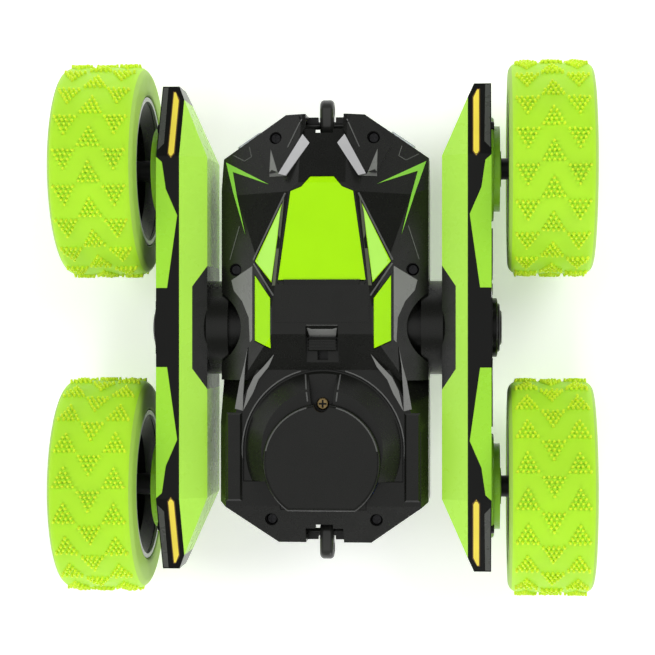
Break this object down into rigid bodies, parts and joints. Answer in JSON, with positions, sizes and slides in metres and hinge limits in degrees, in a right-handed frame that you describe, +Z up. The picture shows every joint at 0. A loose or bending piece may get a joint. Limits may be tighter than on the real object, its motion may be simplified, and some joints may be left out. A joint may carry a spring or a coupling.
{
  "type": "rc stunt car",
  "caption": "Double-sided radio controlled stunt car: a flat faceted body between two rotating drive arms, each with two spiked wheels, tow rings front and rear.",
  "frame": {"origin": "on the ground under the middle of the car, at its bounding box's bottom centre", "axes": "+Z up with the battery door side up, +Y towards the battery end (rear), X across the car along the axles"},
  "size_m": [0.1636, 0.165, 0.067],
  "materials": {
    "black_plastic": "satin black moulded plastic",
    "lime_plastic": "glossy lime moulded plastic",
    "lime_rubber": "soft matt lime rubber",
    "rim_plastic": "semi-gloss black plastic",
    "axle_plastic": "black acetal",
    "gear_nylon": "natural nylon",
    "screw_steel": "zinc plated",
    "screw_black": "black oxide",
    "motor_can": "plated steel can",
    "circuit_board": "green solder mask",
    "battery_wrap": "shrink wrap",
    "lens": "clear moulded lens"
  },
  "bodies": {
    "chassis": {"upper_shell": "black_plastic", "lower_shell": "black_plastic", "upper_green_panels": "lime_plastic", "lower_green_panels": "lime_plastic", "shell_screws": "screw_black", "switch_housing": "black_plastic", "circuit_board": "circuit_board", "left_motor": "motor_can", "right_motor": "motor_can", "battery_pack": "battery_wrap", "headlight_lenses": "lens"},
    "battery_door": {"battery_cover": "black_plastic", "battery_cover_screw": "screw_steel"},
    "switch": {"switch_knob": "black_plastic"},
    "front_ring": {"front_tow_ring": "black_plastic"},
    "rear_ring": {"rear_tow_ring": "black_plastic"},
    "left_arm": {"left_arm_shell": "lime_plastic", "left_arm_cover": "black_plastic", "left_axle_covers": "lime_plastic", "left_hub_cap": "black_plastic", "left_arm_screws": "screw_steel", "left_hub_collar": "black_plastic"},
    "left_output": {"left_output_gear": "gear_nylon"},
    "left_reduction": {"left_reduction_gear": "gear_nylon"},
    "left_pinion": {"left_motor_pinion": "gear_nylon"},
    "left_drive": {"left_drive_shaft": "gear_nylon"},
    "left_front_wheel": {"left_front_tyre": "lime_rubber", "left_front_rim": "rim_plastic", "left_front_brake_disc": "rim_plastic", "left_front_axle_gear": "axle_plastic", "left_front_wheel_screw": "screw_steel"},
    "left_front_idler": {"left_front_idler": "gear_nylon"},
    "left_rear_wheel": {"left_rear_tyre": "lime_rubber", "left_rear_rim": "rim_plastic", "left_rear_brake_disc": "rim_plastic", "left_rear_axle_gear": "axle_plastic", "left_rear_wheel_screw": "screw_steel"},
    "left_rear_idler": {"left_rear_idler": "gear_nylon"},
    "right_arm": {"right_arm_shell": "lime_plastic", "right_arm_cover": "black_plastic", "right_axle_covers": "lime_plastic", "right_hub_cap": "black_plastic", "right_arm_screws": "screw_steel", "right_hub_collar": "black_plastic"},
    "right_output": {"right_output_gear": "gear_nylon"},
    "right_reduction": {"right_reduction_gear": "gear_nylon"},
    "right_pinion": {"right_motor_pinion": "gear_nylon"},
    "right_drive": {"right_drive_shaft": "gear_nylon"},
    "right_front_wheel": {"right_front_tyre": "lime_rubber", "right_front_rim": "rim_plastic", "right_front_brake_disc": "rim_plastic", "right_front_axle_gear": "axle_plastic", "right_front_wheel_screw": "screw_steel"},
    "right_front_idler": {"right_front_idler": "gear_nylon"},
    "right_rear_wheel": {"right_rear_tyre": "lime_rubber", "right_rear_rim": "rim_plastic", "right_rear_brake_disc": "rim_plastic", "right_rear_axle_gear": "axle_plastic", "right_rear_wheel_screw": "screw_steel"},
    "right_rear_idler": {"right_rear_idler": "gear_nylon"}
  },
  "joints": [
    {"name": "battery_door_lift", "type": "slide", "parent": "chassis", "child": "battery_door", "axis": [0, 0, 1], "range_m": [0, 0.02]},
    {"name": "switch_slide", "type": "slide", "parent": "chassis", "child": "switch", "axis": [0, 1, 0], "range_m": [0, 0.003]},
    {"name": "front_ring_swing", "type": "hinge", "parent": "chassis", "child": "front_ring", "pos_m": [0, -0.0628, 0.0335], "axis": [1, 0, 0], "range_deg": [-50, 50]},
    {"name": "rear_ring_swing", "type": "hinge", "parent": "chassis", "child": "rear_ring", "pos_m": [0, 0.0636, 0.0335], "axis": [1, 0, 0], "range_deg": [-50, 50]},
    {"name": "left_arm_turn", "type": "hinge", "parent": "chassis", "child": "left_arm", "pos_m": [0, 0, 0.0335], "axis": [1, 0, 0], "continuous": true},
    {"name": "left_output_spin", "type": "hinge", "parent": "chassis", "child": "left_output", "pos_m": [0, 0, 0.0335], "axis": [1, 0, 0], "continuous": true},
    {"name": "left_reduction_spin", "type": "hinge", "parent": "chassis", "child": "left_reduction", "pos_m": [0, -0.00928, 0.0384], "axis": [1, 0, 0], "continuous": true},
    {"name": "left_pinion_spin", "type": "hinge", "parent": "chassis", "child": "left_pinion", "pos_m": [0, -0.018, 0.0335], "axis": [1, 0, 0], "continuous": true},
    {"name": "left_drive_spin", "type": "hinge", "parent": "left_arm", "child": "left_drive", "pos_m": [0, 0, 0.0335], "axis": [1, 0, 0], "continuous": true},
    {"name": "left_front_wheel_spin", "type": "hinge", "parent": "left_arm", "child": "left_front_wheel", "pos_m": [0, -0.049, 0.0335], "axis": [1, 0, 0], "continuous": true},
    {"name": "left_front_idler_spin", "type": "hinge", "parent": "left_arm", "child": "left_front_idler", "pos_m": [0, -0.024, 0.0335], "axis": [1, 0, 0], "continuous": true},
    {"name": "left_rear_wheel_spin", "type": "hinge", "parent": "left_arm", "child": "left_rear_wheel", "pos_m": [0, 0.049, 0.0335], "axis": [1, 0, 0], "continuous": true},
    {"name": "left_rear_idler_spin", "type": "hinge", "parent": "left_arm", "child": "left_rear_idler", "pos_m": [0, 0.024, 0.0335], "axis": [1, 0, 0], "continuous": true},
    {"name": "right_arm_turn", "type": "hinge", "parent": "chassis", "child": "right_arm", "pos_m": [0, 0, 0.0335], "axis": [1, 0, 0], "continuous": true},
    {"name": "right_output_spin", "type": "hinge", "parent": "chassis", "child": "right_output", "pos_m": [0, 0, 0.0335], "axis": [1, 0, 0], "continuous": true},
    {"name": "right_reduction_spin", "type": "hinge", "parent": "chassis", "child": "right_reduction", "pos_m": [0, 0.00928, 0.0384], "axis": [1, 0, 0], "continuous": true},
    {"name": "right_pinion_spin", "type": "hinge", "parent": "chassis", "child": "right_pinion", "pos_m": [0, 0.018, 0.0335], "axis": [1, 0, 0], "continuous": true},
    {"name": "right_drive_spin", "type": "hinge", "parent": "right_arm", "child": "right_drive", "pos_m": [0, 0, 0.0335], "axis": [1, 0, 0], "continuous": true},
    {"name": "right_front_wheel_spin", "type": "hinge", "parent": "right_arm", "child": "right_front_wheel", "pos_m": [0, -0.049, 0.0335], "axis": [1, 0, 0], "continuous": true},
    {"name": "right_front_idler_spin", "type": "hinge", "parent": "right_arm", "child": "right_front_idler", "pos_m": [0, -0.024, 0.0335], "axis": [1, 0, 0], "continuous": true},
    {"name": "right_rear_wheel_spin", "type": "hinge", "parent": "right_arm", "child": "right_rear_wheel", "pos_m": [0, 0.049, 0.0335], "axis": [1, 0, 0], "continuous": true},
    {"name": "right_rear_idler_spin", "type": "hinge", "parent": "right_arm", "child": "right_rear_idler", "pos_m": [0, 0.024, 0.0335], "axis": [1, 0, 0], "continuous": true}
  ],
  "couplings": [
    {"joint": "left_reduction_spin", "follows": "left_output_spin", "ratio": -3.2},
    {"joint": "left_pinion_spin", "follows": "left_output_spin", "ratio": 9.6},
    {"joint": "left_rear_wheel_spin", "follows": "left_front_wheel_spin", "ratio": 1},
    {"joint": "left_front_idler_spin", "follows": "left_front_wheel_spin", "ratio": -0.92308},
    {"joint": "left_rear_idler_spin", "follows": "left_front_wheel_spin", "ratio": -0.92308},
    {"joint": "left_drive_spin", "follows": "left_front_wheel_spin", "ratio": 1.0909},
    {"joint": "right_reduction_spin", "follows": "right_output_spin", "ratio": -3.2},
    {"joint": "right_pinion_spin", "follows": "right_output_spin", "ratio": 9.6},
    {"joint": "right_rear_wheel_spin", "follows": "right_front_wheel_spin", "ratio": 1},
    {"joint": "right_front_idler_spin", "follows": "right_front_wheel_spin", "ratio": -0.92308},
    {"joint": "right_rear_idler_spin", "follows": "right_front_wheel_spin", "ratio": -0.92308},
    {"joint": "right_drive_spin", "follows": "right_front_wheel_spin", "ratio": 1.0909}
  ]
}
